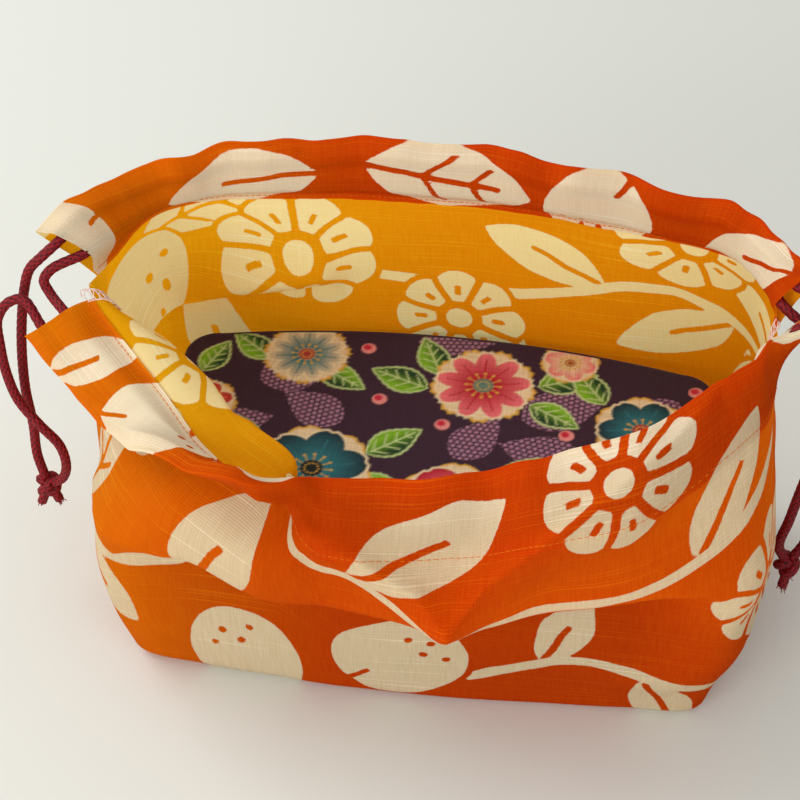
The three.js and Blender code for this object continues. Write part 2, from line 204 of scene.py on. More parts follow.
def rib_points(rib, heights):
    """Points of one rib at heights up the cloth, even along its wall and along its collar."""
    _, wall, collar = rib
    samples = 40
    spans = len(wall) + len(collar) - 1
    line = catmull_rom(wall + collar, np.linspace(0, spans, samples * spans + 1))
    lengths = arc_lengths(line)
    turn = lengths[samples * (len(wall) - 1)]
    goals = np.interp(heights, [0, TURN_HEIGHT, WALL_HEIGHT], [0, turn, lengths[-1]])
    return between(line, lengths, goals)


def panel_points(panel, across, heights):
    """Grid of points on a panel's outer face, across and then up; ribs blend from mark to mark."""
    ribs, marks, _ = panel
    samples = 120
    marks = np.array([(0, *pair, WALL_HEIGHT) for pair in marks], float)
    stops = range(marks.shape[1])
    levels = np.linspace(0, stops[-1], samples * stops[-1] + 1)
    columns = np.stack([rib_points(rib, np.interp(levels, stops, mark))
                        for rib, mark in zip(ribs, marks)])
    places = np.interp(across / PANEL_WIDTH, [rib[0] for rib in ribs], range(len(ribs)))
    grid = []
    for line, mark in zip(catmull_rom(columns, places), catmull_rom(marks, places)):
        grid.append(between(line, levels, np.interp(heights, mark, stops)))
    return np.stack(grid)


def unit(vectors):
    return vectors / (np.linalg.norm(vectors, axis=-1, keepdims=True) + 1e-12)


def inward(grid):
    """Directions into the bag at each point of a panel's grid."""
    return unit(np.cross(np.gradient(grid, axis=1), np.gradient(grid, axis=0)))


# Seeded smooth noise

def smooth(share):
    """A share from 0 to 1, eased at both ends."""
    return share * share * (3 - 2 * share)


def blend(first, last, share):
    return first * (1 - share) + last * share


def wander(x, step, seed):
    """Smooth noise from -1 to 1 along a line."""
    cells = 1024
    values = np.random.default_rng(seed).uniform(-1, 1, cells)
    cell = np.floor(x / step).astype(int)
    share = smooth(x / step - cell)
    return blend(values[cell % cells], values[(cell + 1) % cells], share)


def ripple(x, y, step_x, step_y, seed):
    """Smooth noise from -1 to 1 over a plane."""
    cells = 256
    values = np.random.default_rng(seed).uniform(-1, 1, (cells, cells))
    i = np.floor(x / step_x).astype(int)
    j = np.floor(y / step_y).astype(int)
    share_x = smooth(x / step_x - i)
    share_y = smooth(y / step_y - j)
    i, j, next_i, next_j = i % cells, j % cells, (i + 1) % cells, (j + 1) % cells
    low = blend(values[i, j], values[next_i, j], share_x)
    high = blend(values[i, next_j], values[next_i, next_j], share_x)
    return blend(low, high, share_y)


# Wrinkles

def distance_to_line(x, y, line):
    """Distance from flat points to a line of straight steps."""
    best = np.full(np.shape(x), np.inf)
    for (ax, ay), (bx, by) in zip(line[:-1], line[1:]):
        along_x, along_y = bx - ax, by - ay
        share = ((x - ax) * along_x + (y - ay) * along_y) / (along_x**2 + along_y**2)
        share = np.clip(share, 0, 1)
        best = np.minimum(best, np.hypot(x - ax - share * along_x, y - ay - share * along_y))
    return best


def lift(table, u, v):
    """How far a table of folds lifts the cloth, in millimetres."""
    total = np.zeros_like(u)
    for line, height, width, sharp in table:
        near = distance_to_line(u, v, line) / width
        total += height * (np.clip(1 - near, 0, 1) ** 2 if sharp else np.exp(-near**2))
    return total


def waves(table, place):
    """Sum of a table's waves along a line, in millimetres."""
    return sum(height * wander(place, length, seed) for height, length, seed in table)


def up_casing(heights):
    """Share of the way up a casing: 0 at its stitching and below, 1 at the rim."""
    return np.clip((heights - STITCH_HEIGHT) / CASING_HEIGHT, 0, 1)


def wrinkles(across, heights):
    """How far the cloth stands out of its smooth shape, in millimetres."""
    u, v = np.meshgrid(across, heights, indexing="ij")
    soft = sum(height * ripple(u + slant * v, v, length, rise, seed)
               for height, slant, length, rise, seed in SOFT_WAVES)
    gather = waves(GATHERS, across)[:, None] * up_casing(v)
    ease = np.clip((v - STITCH_HEIGHT) / FOLD_EASE + 0.5, 0, 1)
    folds = lift(FOLDS, u, v) * (1 + (CASING_FOLD - 1) * ease) + lift(CREASES, u, v)
    pucker = waves(PUCKERS, across)[:, None] * np.exp(-((v - STITCH_HEIGHT) / PUCKER_EASE) ** 2)
    from_start = across % PANEL_WIDTH
    from_seam = np.minimum(from_start, PANEL_WIDTH - from_start)[:, None]
    proud = (soft + gather + folds) * np.clip(v / FOOT_EASE, 0, 1)
    return proud * np.clip(from_seam / SEAM_EASE, 0, 1) + pucker


def draped(panel, across, heights):
    """Grid of points on a wrinkled panel with a wavy rim, and the directions into the bag there."""
    _, _, start = panel
    grid = panel_points(panel, across, heights)
    into, up = inward(grid), unit(np.gradient(grid, axis=1))
    rise = waves(RIM_WAVES, across + start)[:, None] * up_casing(heights)
    grid = grid - into * wrinkles(across + start, heights)[..., None]
    return grid + up * rise[..., None], into


def draped_line(panel, across, height, spread):
    """Points along one height of a panel, with rows a spread below and above to tell directions."""
    grid, into = draped(panel, across, height + spread * np.array([-1, 0, 1]))
    return grid[:, 1], into[:, 1]


# Meshes

def make_object(name, points, faces, material, **attributes):
    """A smooth mesh object from points in millimetres, with a value or vector per point."""
    mesh = bpy.data.meshes.new(name)
    mesh.from_pydata((np.asarray(points) * MM).tolist(), [], faces)
    mesh.polygons.foreach_set("use_smooth", [True] * len(mesh.polygons))
    for key, values in attributes.items():
        values = np.asarray(values, np.float32)
        kind, field = ("FLOAT", "value") if values.ndim == 1 else ("FLOAT_VECTOR", "vector")
        mesh.attributes.new(key, kind, "POINT").data.foreach_set(field, values.ravel())
    mesh.materials.append(material)
    piece = bpy.data.objects.new(name, mesh)
    bpy.context.collection.objects.link(piece)
    return piece


def frames_along(line):
    """Two directions across a line at each point, turning as little as they can."""
    askew = (0.3, 0.5, 0.8)
    tangents = unit(np.gradient(line, axis=0))
    side = np.cross(tangents[0], askew)
    sides = []
    for tangent in tangents:
        side = side - tangent * np.dot(side, tangent)
        side = side / np.linalg.norm(side)
        sides.append(side)
    sides = np.array(sides)
    return sides, np.cross(tangents, sides)


def tube(line, radii, sides):
    """Points and faces of a closed tube; radii is one number, one per ring, or one per point."""
    line = np.asarray(line, float)
    turn = np.linspace(0, 2 * math.pi, sides, endpoint=False)
    across, up = frames_along(line)
    ring = across[:, None] * np.cos(turn)[None, :, None] + up[:, None] * np.sin(turn)[None, :, None]
    radii = np.asarray(radii, float)
    radii = radii[:, None] if radii.ndim == 1 else radii
    radii = np.broadcast_to(radii, (len(line), sides))
    points = (line[:, None] + ring * radii[..., None]).reshape(-1, 3)
    faces = []
    for i in range(len(line) - 1):
        for k in range(sides):
            m = (k + 1) % sides
            faces.append((i * sides + k, i * sides + m, (i + 1) * sides + m, (i + 1) * sides + k))
    last = (len(line) - 1) * sides
    faces.append(tuple(range(sides))[::-1])
    faces.append(tuple(range(last, last + sides)))
    return points, faces


def join(parts):
    """One list of points and faces from several."""
    points, faces = [], []
    count = 0
    for part_points, part_faces in parts:
        points.append(part_points)
        faces.extend(tuple(k + count for k in face) for face in part_faces)
        count += len(part_points)
    return np.concatenate(points), faces


# Materials

def srgb(red, green, blue):
    """A colour as shown on a screen, from 0 to 255, as linear RGBA."""
    def linear(value):
        share = value / 255
        return share / 12.92 if share <= 0.04045 else ((share + 0.055) / 1.055) ** 2.4
    return (linear(red), linear(green), linear(blue), 1)


class Shader:
    """A node material under construction."""

    def __init__(self, name):
        self.material = bpy.data.materials.new(name)
        self.material.use_nodes = True
        self.tree = self.material.node_tree
        self.tree.nodes.clear()

    def node(self, kind, inputs=None, **settings):
        made = self.tree.nodes.new("ShaderNode" + kind)
        for key, value in settings.items():
            setattr(made, key, value)
        for key, value in (inputs or {}).items():
            if isinstance(value, bpy.types.NodeSocket):
                self.tree.links.new(value, made.inputs[key])
            else:
                made.inputs[key].default_value = value
        return made

    def attribute(self, name, output):
        return self.node("Attribute", attribute_name=name).outputs[output]

    def object_place(self):
        return self.node("TexCoord").outputs["Object"]

    def math(self, operation, first, second=0.0):
        return self.node("Math", {0: first, 1: second}, operation=operation).outputs[0]

    def add(self, first, second):
        return self.math("ADD", first, second)

    def times(self, first, second):
        return self.math("MULTIPLY", first, second)

    def noise(self, vector, scale, detail):
        """Noise over a vector that is first scaled along each axis."""
        scaled = self.node("VectorMath", {0: vector, 1: scale}, operation="MULTIPLY").outputs[0]
        inputs = {"Vector": scaled, "Scale": 1.0, "Detail": detail}
        return self.node("TexNoise", inputs).outputs[0]

    def remap(self, value, low, high, to_low=0.0, to_high=1.0):
        inputs = {"Value": value, "From Min": low, "From Max": high,
                  "To Min": to_low, "To Max": to_high}
        return self.node("MapRange", inputs, interpolation_type="SMOOTHSTEP").outputs[0]

    def mix(self, share, first, second, blend_type="MIX"):
        inputs = {0: share, 6: first, 7: second}
        return self.node("Mix", inputs, data_type="RGBA", blend_type=blend_type).outputs[2]

    def bump(self, height, distance, strength):
        inputs = {"Height": height, "Distance": distance, "Strength": strength}
        return self.node("Bump", inputs).outputs[0]

    def principled(self, colour, roughness, specular, more):
        inputs = {"Base Color": colour, "Roughness": roughness, "Specular IOR Level": specular}
        return self.node("BsdfPrincipled", inputs | more).outputs[0]

    def finish(self, surface):
        self.node("OutputMaterial", {"Surface": surface})
        return self.material


def slub_weave(shader, flat, height):
    """Relief and lightness of slub cotton: threads along it, fainter ones across, thick slubs."""
    phase_per_mm, phase_drift = 8.6, 9.0
    drift = shader.noise(flat, (0.006, 0.2, 1.0), 1.0)
    rows = shader.add(shader.times(height, phase_per_mm), shader.times(drift, phase_drift))
    weave = shader.remap(shader.math("SINE", rows), -1.0, 1.0)
    crossing = shader.noise(flat, (2.2, 0.1, 1.0), 0.0)
    slubs = shader.remap(shader.noise(flat, (0.016, 1.9, 1.0), 0.0), 0.65, 0.77)
    relief = shader.add(weave, shader.times(slubs, 0.8))
    relief = shader.add(relief, shader.times(crossing, 0.7))
    woven = shader.add(weave, shader.remap(crossing, 0.3, 0.7))
    tone = shader.add(shader.times(woven, 0.2), shader.times(slubs, 0.6))
    return relief, tone


def ground_tones(shader, flat, along, height, tone):
    """The dyed ground outside and inside: lighter and yellower towards the left seam, and painted shade
    makes the inside a deeper orange low down.
    """
    from_right = shader.math("ABSOLUTE", shader.math("SUBTRACT", along, float(PANEL_WIDTH)))
    mottle = shader.noise(flat, (0.03, 0.03, 1.0), 3.0)
    # the ground runs from redder near the right seam to lighter and yellower towards the left seam
    redder = shader.mix(tone, srgb(206, 59, 1), srgb(235, 101, 9))
    yellower = shader.mix(tone, srgb(229, 114, 2), srgb(248, 152, 18))
    outside = shader.mix(shader.remap(from_right, 170.0, 295.0), redder, yellower)
    outside = shader.mix(shader.remap(mottle, 0.4, 0.7, 0.0, 0.25), outside, srgb(208, 66, 0))

    redder = shader.mix(tone, srgb(238, 150, 2), srgb(250, 186, 24))
    # painted shade: the inside turns a deeper orange from 105 mm down to 45 mm, where it lies in shade low
    # in the bag
    redder = shader.mix(shader.remap(height, 105.0, 45.0, 0.0, 0.4), redder, srgb(230, 118, 0))
    yellower = shader.mix(tone, srgb(242, 176, 4), srgb(253, 208, 36))
    inside = shader.mix(shader.remap(from_right, 130.0, 290.0), redder, yellower)
    return outside, inside


def cream_tones_lit_rim(shader, height, tone):
    """The bare cotton outside, with painted light making it brighter along the rim, and inside."""
    wall = shader.mix(tone, srgb(215, 193, 154), srgb(244, 230, 198))
    # painted light: a brighter cream from 140 mm up to the rim, where the lapel and casings face up into the
    # light
    hem = shader.mix(tone, srgb(237, 221, 186), srgb(253, 245, 224))
    outside = shader.mix(shader.remap(height, 140.0, 160.0), wall, hem)
    inside = shader.mix(tone, srgb(248, 226, 152), srgb(255, 245, 196))
    return outside, inside


def cloth_material():
    """Slub cotton, dyed orange outside and yellow inside, and left cream in the print."""
    shader = Shader("slub_cotton")
    flat = shader.attribute("flat", "Vector")
    along, height, _ = shader.node("SeparateXYZ", {0: flat}).outputs
    relief, tone = slub_weave(shader, flat, height)
    dyed_outside, dyed_inside_shaded_low = ground_tones(shader, flat, along, height, tone)
    cream_outside_lit_rim, cream_inside = cream_tones_lit_rim(shader, height, tone)

    bleed = shader.times(shader.noise(flat, (0.5, 0.5, 1.0), 2.0), 0.6)
    edge = shader.add(shader.attribute("print", "Fac"), bleed)
    printed = shader.remap(edge, 0.5, 0.1)
    back = shader.node("NewGeometry").outputs["Backfacing"]
    dyed = shader.mix(back, dyed_outside, dyed_inside_shaded_low)
    cream = shader.mix(back, cream_outside_lit_rim, cream_inside)
    colour = shader.mix(printed, dyed, cream)
    through = shader.mix(printed, shader.mix(0.6, dyed_outside, dyed_inside_shaded_low), cream)

    normal = shader.bump(relief, 0.0001, 0.6)
    cotton = shader.principled(colour, 0.92, 0.06, {"Normal": normal})
    glow = shader.node("BsdfTranslucent", {"Color": through, "Normal": normal}).outputs[0]
    glow_share = shader.math("SUBTRACT", 0.46, shader.times(printed, 0.14))
    return shader.finish(shader.node("MixShader", {0: glow_share, 1: cotton, 2: glow}).outputs[0])


def cord_material():
    """Maroon braid, with painted shade in the grooves between its strands and a painted highlight on their
    crowns.
    """
    shader = Shader("maroon_braid")
    place = shader.object_place()
    fibres = shader.noise(place, (1500.0, 1500.0, 500.0), 2.0)
    ridge = shader.attribute("ridge", "Fac")
    # painted shade and painted highlight: dark maroon in the grooves, light red on the strands' crowns, by
    # the ridge height
    colour = shader.mix(ridge, srgb(48, 3, 8), srgb(152, 20, 32))
    colour = shader.mix(shader.remap(fibres, 0.35, 0.7, 0.0, 0.5), colour, srgb(92, 10, 18))
    normal = shader.bump(fibres, 0.0002, 0.5)
    return shader.finish(shader.principled(colour, 0.62, 0.22, {"Normal": normal}))


def thread_material(name, colour, light):
    """Twisted sewing thread."""
    shader = Shader(name)
    place = shader.object_place()
    twist = shader.noise(place, (3000.0, 3000.0, 3000.0), 1.0)
    shade = shader.mix(shader.remap(twist, 0.35, 0.65), colour, light)
    normal = shader.bump(twist, 0.0001, 0.6)
    return shader.finish(shader.principled(shade, 0.8, 0.1, {"Normal": normal}))


def insert_material():
    """Fine plain-woven cotton; its colours come with the points."""
    shader = Shader("flowered_cotton")
    place = shader.object_place()
    weft = shader.noise(place, (60.0, 1900.0, 1900.0), 2.0)
    warp = shader.noise(place, (1900.0, 60.0, 1900.0), 2.0)
    weave = shader.add(weft, warp)
    colour = shader.attribute("colour", "Color")
    gaps = shader.remap(weave, 0.7, 1.3, 0.22, 0.0)
    shaded = shader.mix(gaps, colour, srgb(24, 12, 24), "MULTIPLY")
    more = {"Sheen Weight": 0.1, "Normal": shader.bump(weave, 0.00015, 0.6)}
    return shader.finish(shader.principled(shaded, 0.82, 0.25, more))


# Camera

def make_camera():
    """The photograph's view, from the front and above, a little to the right."""
    azimuth, elevation, roll = math.radians(9.0), math.radians(43.0), math.radians(-0.8)
    target, distance = (0, -0.074, 0.159), 0.649
    sensor, focal_pixels, frame_pixels = 36, 2170, 800
    data = bpy.data.cameras.new("camera")
    data.sensor_width = sensor
    data.lens = sensor * focal_pixels / frame_pixels
    data.clip_start = 0.01
    camera = bpy.data.objects.new("camera", data)
    turns = ((azimuth, "Z"), (math.pi / 2 - elevation, "X"), (roll, "Z"))
    place = Matrix.Translation(target)
    for angle, axis in turns:
        place = place @ Matrix.Rotation(angle, 4, axis)
    camera.matrix_world = place @ Matrix.Translation((0, 0, distance))
    bpy.context.collection.objects.link(camera)
    bpy.context.scene.camera = camera


# Cords

def casing_line(panel, drop):
    """A cord's points inside one casing, from the panel's end back to its start."""
    places = np.linspace(SLIT_WIDTH / 2, PANEL_WIDTH - SLIT_WIDTH / 2, 60)
    points, into = draped_line(panel, places, WALL_HEIGHT - drop, 1.5)
    return (points + into * CORD_DEPTH)[::-1].tolist()


def strand_to_knot(strand, knot):
    """A strand's points with one more that enters the knot's top."""
    entry = 3.2
    centre = np.array(knot, float)
    towards = unit(np.array(strand[-1], float) - centre)
    return strand + [tuple(centre + towards * entry)]


def even_line(controls):
    """A curve through control points, at even steps."""
    samples, step = 24, 0.55
    line = catmull_rom(controls, np.linspace(0, len(controls) - 1, samples * len(controls)))
    lengths = arc_lengths(line)
    return between(line, lengths, np.linspace(0, lengths[-1], int(lengths[-1] / step)))


def braided_tube(line):
    """Tube with strands that wind round it both ways, and how high each point lies in the braid."""
    sides, strands, turn_length = 20, 6, 17.0
    core, swell = 0.78, 0.26
    groove, crown = 0.74, 0.98
    turn = np.linspace(0, 2 * math.pi, sides, endpoint=False)[None]
    wind = 2 * math.pi * arc_lengths(line)[:, None] / turn_length
    ridge = np.maximum(*(np.abs(np.cos(strands / 2 * (turn + way * wind))) for way in (1, -1)))
    points, faces = tube(line, CORD_DIAMETER / 2 * (core + swell * ridge), sides)
    return points, faces, np.clip((ridge - groove) / (crown - groove), 0, 1).ravel()


def braided_piece(name, points, faces, ridge, material):
    """A piece of braid in place of the CAD model's piece of that name."""
    piece = make_object(name + "_braid", points, faces, material, ridge=ridge)
    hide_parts(name)
    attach(piece, "root")
    return piece


def make_cord(name, strands, knot, casings, crossing, drop, material):
    """A cord from its knot through both casings and back to the knot, and its line in metres."""
    first, last = (strand_to_knot(strand, knot) for strand in strands)
    there, back = (casing_line(panel, drop) for panel in casings)
    line = even_line(first[::-1] + there + crossing + back + last)
    return braided_piece(name, *braided_tube(line), material), line * MM


def frayed_end(end, direction, rng):
    """Short loose fibres at a cut end."""
    count, steps, sides = 16, 4, 5
    spread, sunk, stray = 0.6, 0.4, 0.5
    shortest, longest = 1.2, 2.4
    radii = np.linspace(0.26, 0.12, steps)
    hairs = []
    for _ in range(count):
        start = end + rng.normal(0, spread, 3) - direction * sunk
        reach = direction * rng.uniform(shortest, longest) + rng.normal(0, stray, 3)
        hairs.append(tube(start + np.linspace(0, 1, steps)[:, None] * reach, radii, sides))
    return hairs


def overhand_line():
    """A trefoil, as an overhand knot lies when it is drawn tight."""
    radius, swing, rise = 2.1, 1.1, 2.5
    t = np.linspace(0, 2 * math.pi, 110)
    ring = radius + swing * np.cos(3 * t)
    return np.stack([ring * np.cos(2 * t), ring * np.sin(2 * t), rise * np.sin(3 * t)], axis=1)


def make_knot(name, centre, turn, seed, material):
    """An overhand knot in both strands, with two short cut tails."""
    hair_ridge = 0.7
    rng = np.random.default_rng(seed)
    lines = [overhand_line()]
    hairs = []
    for side in (-1, 1):
        bends = [(side * 0.8, 0, -1.5), (side * 1.9, 0.5 * side, -4.6), (side * 3.2, -0.3, -8.2)]
        tail = catmull_rom(bends, np.linspace(0, 2, 24))
        lines.append(tail)
        hairs += frayed_end(tail[-1], unit(tail[-1] - tail[-4]), rng)
    braids = [braided_tube(line) for line in lines]
    points, faces = join([braid[:2] for braid in braids] + hairs)
    ridges = [braid[2] for braid in braids] + [np.full(len(hair[0]), hair_ridge) for hair in hairs]
    points = points @ np.array(Matrix.Rotation(turn, 3, "Z")).T + np.array(centre)
    return braided_piece(name, points, faces, np.concatenate(ridges), material)


# Print on the cloth, as signed distances in millimetres, negative inside a shape

# Half widths of the lines left dyed: midribs, side veins and slits in petals
MIDRIB = 1.2
VEIN = 1.0
SLIT = 1.1

# Leaves on a stem have side veins if they are longer than this
VEINED_LENGTH = 52


def own_axes(x, y, centre, angle):
    """Flat points in the axes of a shape at a centre, turned by an angle."""
    x, y = x - centre[0], y - centre[1]
    c, s = math.cos(angle), math.sin(angle)
    return c * x + s * y, c * y - s * x


def first_sector(x, y, count):
    """Points of a figure with count equal sectors, all turned into the first one."""
    step = 2 * math.pi / count
    turn = (np.arctan2(y, x) + step / 2) % step - step / 2
    far = np.hypot(x, y)
    return far * np.cos(turn), far * np.sin(turn)


def disc(x, y, radius):
    return np.hypot(x, y) - radius


def blade(x, y, length, width):
    """Two arcs that meet in points."""
    half, bulge = length / 2, width / 2
    radius = (half**2 + bulge**2) / (2 * bulge)
    return np.maximum(disc(x, y + radius - bulge, radius), disc(x, y - radius + bulge, radius))


def leaf(x, y, length):
    """A leaf with a midrib and slanting side veins left in the ground colour."""
    spacing, slope, margin = 13.0, 0.8, 2.8
    shape = blade(x, y, length, 0.48 * length)
    midrib = np.maximum(np.abs(y) - MIDRIB, x - 0.32 * length)
    slant = (x - slope * np.abs(y)) / math.hypot(1, slope)
    vein = np.abs(slant % spacing - spacing / 2) - VEIN
    vein = np.maximum(np.maximum(vein, shape + margin), np.abs(x) - 0.3 * length)
    return np.maximum(shape, -np.minimum(midrib, vein))


def plain_leaf(x, y, length):
    """A leaf with nothing inside but a short midrib."""
    midrib = np.maximum(np.abs(y) - MIDRIB, x - 0.1 * length)
    return np.maximum(blade(x, y, length, 0.46 * length), -midrib)


def wheel(x, y, radius):
    """An open flower seen from the front: rounded petals, each with a slit, round a plain heart."""
    petals, gap = 8, 1.3
    px, py = first_sector(x, y, petals)
    half = math.pi / petals
    wedge = np.abs(py) * math.cos(half) - px * math.sin(half) + gap
    tip = disc(px - 0.62 * radius, py, 0.36 * radius)
    petal = np.maximum(np.maximum(wedge, tip), 0.34 * radius - px)
    slit = np.maximum(np.abs(py) - SLIT, np.abs(px - 0.58 * radius) - 0.1 * radius)
    return np.minimum(np.maximum(petal, -slit), disc(x, y, 0.19 * radius))


def fruit(x, y, radius):
    """A plain round fruit with a few pips and a short gap for its stalk."""
    pips, pip, squeeze = ((0.45, 0.3), (0.62, 0.02), (0.36, -0.1), (0.52, -0.4)), 0.065, 1.06
    shape = disc(x, y * squeeze, radius)
    for px, py in pips:
        shape = np.maximum(shape, -disc(x - px * radius, y - py * radius, pip * radius))
    notch = np.maximum(np.abs(y) - 0.05 * radius, np.abs(x + 0.85 * radius) - 0.3 * radius)
    return np.maximum(shape, -notch)


def sprig(x, y, points, leaves):
    """A stem with leaves, each with its place along the stem, its side and its length."""
    width, samples, spread, reach = 5.0, 12, math.radians(48), 0.52
    line = catmull_rom(points, np.linspace(0, len(points) - 1, samples * len(points)))
    shape = distance_to_line(x, y, line) - width / 2
    for share, side, length in leaves:
        start = int(share * (len(line) - 2))
        along = line[start + 1] - line[start]
        angle = math.atan2(along[1], along[0]) + side * spread
        centre = line[start] + reach * length * np.array([math.cos(angle), math.sin(angle)])
        kind = leaf if length > VEINED_LENGTH else plain_leaf
        shape = np.minimum(shape, kind(*own_axes(x, y, centre, angle), length))
    return shape


# The print's sprigs on the flat cloth: points of the stem, and the leaves
SPRIGS = [
    ([(0, 30), (34, 50), (74, 46), (118, 66), (152, 94)],
     [(0.16, 1, 54), (0.3, -1, 38), (0.6, 1, 50), (0.84, -1, 46)]),
    ([(112, 118), (140, 124), (168, 108), (202, 102), (246, 104), (304, 124)],
     [(0.22, 1, 52), (0.8, 1, 46)]),
    ([(168, 14), (214, 32), (258, 22), (324, 42)], [(0.24, 1, 38), (0.5, -1, 44), (0.74, 1, 54)]),
    ([(312, 100), (352, 88), (396, 102), (440, 90), (510, 98)],
     [(0.1, 1, 46), (0.34, -1, 46), (0.6, 1, 48), (0.8, -1, 42)]),
    ([(312, 10), (372, 42), (420, 28), (470, 44), (520, 26), (570, 42), (620, 28)],
     [(0.1, 1, 50), (0.25, -1, 42), (0.42, 1, 54), (0.58, -1, 42), (0.75, 1, 50), (0.92, -1, 42)]),
    ([(60, -60), (110, -40), (160, -58), (214, -44)],
     [(0.2, -1, 50), (0.5, 1, 44), (0.8, -1, 48)]),
]

# The print's single shapes: kind, place, angle in degrees, and size
MOTIFS = [
    (leaf, (62, 146), 14, 56), (plain_leaf, (120, 176), 178, 62), (leaf, (150, 178), 10, 54),
    (leaf, (218, 182), 8, 58), (plain_leaf, (286, 172), 160, 56), (plain_leaf, (350, 175), 20, 54),
    (leaf, (464, 174), 172, 60), (plain_leaf, (536, 176), 8, 58), (leaf, (552, 128), 158, 58),
    (wheel, (42, 108), 10, 29), (wheel, (274, 72), 0, 27), (wheel, (222, 148), 14, 23),
    (wheel, (380, 132), 12, 28), (wheel, (518, 106), 20, 29), (wheel, (462, 74), 0, 24),
    (wheel, (222, -64), 0, 27),
    (fruit, (152, 26), 40, 24), (fruit, (66, 177), 30, 22), (plain_leaf, (26, 176), 66, 38),
    (fruit, (412, 178), 60, 19), (fruit, (586, 98), 200, 29), (fruit, (611, 174), 10, 18),
    (fruit, (98, 10), 120, 20), (fruit, (344, 58), 120, 24), (fruit, (84, -78), 0, 24),
]


def print_distance(flat):
    """Distance to the printed shapes at each flat point; each shape keeps clear of those before it."""
    gap, waver, wave, seeds, limit = 2.3, 0.7, 9, (21, 22), 6
    u, v, _ = flat.T
    x, y = (place + waver * ripple(u, v, wave, wave, seed) for place, seed in zip((u, v), seeds))
    shapes = [sprig(x, y, *details) for details in SPRIGS]
    for shape, centre, angle, size in MOTIFS:
        shapes.append(shape(*own_axes(x, y, centre, math.radians(angle)), size))
    best = np.full(len(flat), np.inf)
    for added in shapes:
        best = np.minimum(np.maximum(best, gap - added), added)
    return np.clip(best, -limit, limit)


# Cloth

def belly(height):
    """How full a casing is, from 0 to 1, at a height above its stitching."""
    opening, closing, at_rim = 6, 5, 0.12
    swell = np.clip((height - HEM_EDGE) / opening, 0, 1)
    close = np.clip((CASING_HEIGHT - height) / closing + at_rim, 0, 1)
    return smooth(swell) * close


def sewn_panels(across, heights):
    """Both draped panels, drawn together along the side seams up to the slits."""
    reach = 14
    (front, front_in), (back, back_in) = (draped(panel, across, heights) for panel in (FRONT, BACK))
    pull = np.clip(1 - across / reach, 0, 1)[:, None, None] ** 2
    fade = np.clip(1 - (heights - STITCH_HEIGHT) / reach, 0, 1)[None, :, None]
    left = (back[-1] - front[0]) / 2
    right = (front[-1] - back[0]) / 2
    front = front + (pull * left[None] - pull[::-1] * right[None]) * fade
    back = back + (pull * right[None] - pull[::-1] * left[None]) * fade
    return (front, front_in), (back, back_in)


def flat_places(columns, rows):
    """Places on the flat cloth of a grid of columns and rows."""
    u, v = np.meshgrid(columns, rows, indexing="ij")
    return np.stack([u, v, 0 * u], axis=-1)


def panel_layers(grid, into, across, heights, start):
    """Wall and casing of one panel: grids of points with their places on the flat cloth."""
    foot, tuck, hem_gap, fullness, roll = 4.0, 0.6, 0.7, 4.9, 0.9
    roll_shares = np.linspace(0, 1, 7)[1:-1]
    curl = np.clip(1 - heights / foot, 0, 1)
    grid = grid + into * (foot * tuck * curl**2)[None, :, None]

    stitch_row = int(np.argmin(np.abs(heights - STITCH_HEIGHT)))
    first = int(np.argmin(np.abs(across - SLIT_WIDTH / 2)))
    span = slice(first, len(across) - first)
    rows = heights[stitch_row:]
    depths = hem_gap + fullness * belly(rows - STITCH_HEIGHT)
    outer = grid[span, stitch_row:]
    hem = outer + into[span, stitch_row:] * depths[None, :, None]

    rim, rim_in = grid[span, -1:], into[span, -1:]
    up = unit(rim - grid[span, -3:-2])
    rolls = [rim + rim_in * depths[-1] * (1 - math.cos(a)) / 2 + up * roll * math.sin(a)
             for a in math.pi * roll_shares]
    casing = np.concatenate([outer, *rolls, hem[:, ::-1]], axis=1)
    over = WALL_HEIGHT + roll_shares
    casing_heights = np.concatenate([rows, over, 2 * WALL_HEIGHT + 1 - rows[::-1]])
    return {
        "wall": (grid[:, :stitch_row + 1], flat_places(across + start, heights[:stitch_row + 1])),
        "casing": (casing, flat_places(across[span] + start, casing_heights)),
    }


def grid_faces(columns, rows):
    index = np.arange(columns * rows).reshape(columns, rows)
    corners = index[:-1, :-1], index[1:, :-1], index[1:, 1:], index[:-1, 1:]
    return np.stack([corner.ravel() for corner in corners], axis=1).tolist()


def bottom_layer(edge):
    """The boxed bottom, in rings from the walls' foot to the middle."""
    rings, half_middle, lifted, half_depth_flat, squeeze = 36, 46, 0.4, 56, 0.9
    none = 0 * edge[:, 0]
    middle = np.stack([np.clip(edge[:, 0], -half_middle, half_middle), none, none + lifted], axis=1)
    share = np.linspace(0, 1, rings)[None, :, None]
    grid = blend(edge[:, None], middle[:, None], share)
    grid[..., 2] = edge[:, None, 2] * (1 - share[..., 0]) ** 3 + lifted
    x, y, _ = np.moveaxis(grid, -1, 0)
    flat = np.stack([PANEL_WIDTH / 2 - x, -half_depth_flat - squeeze * y, 0 * x], axis=-1)
    return grid[:, ::-1], flat[:, ::-1]


